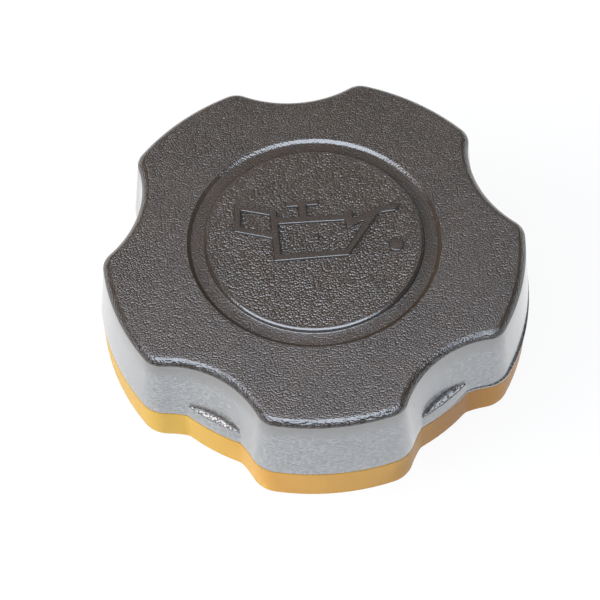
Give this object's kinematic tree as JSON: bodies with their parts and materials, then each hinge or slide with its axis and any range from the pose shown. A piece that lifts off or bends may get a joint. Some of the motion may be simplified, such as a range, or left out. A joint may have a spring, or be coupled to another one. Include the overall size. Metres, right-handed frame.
{
  "type": "oil filler cap",
  "caption": "Lobed twist cap for an engine's oil filler: dark moulded hand grip over an amber base with a bayonet neck and a rubber sealing ring.",
  "frame": {"origin": "on the cap's axis, in the plane where the sealing ring meets the rim of the filler opening", "axes": "+Z up along the cap's axis, away from the engine; one lobe of the grip points along -Y, and the sign on top reads upright with +Y up and +X to the right"},
  "size_m": [0.0672, 0.0653, 0.0342],
  "materials": {
    "black_plastic": "fine moulded grain, satin",
    "amber_plastic": "smooth moulded, satin",
    "black_rubber": "matt"
  },
  "bodies": {
    "root": {"grip_cover": "black_plastic", "bayonet_base": "amber_plastic", "sealing_ring": "black_rubber"}
  },
  "joints": []
}
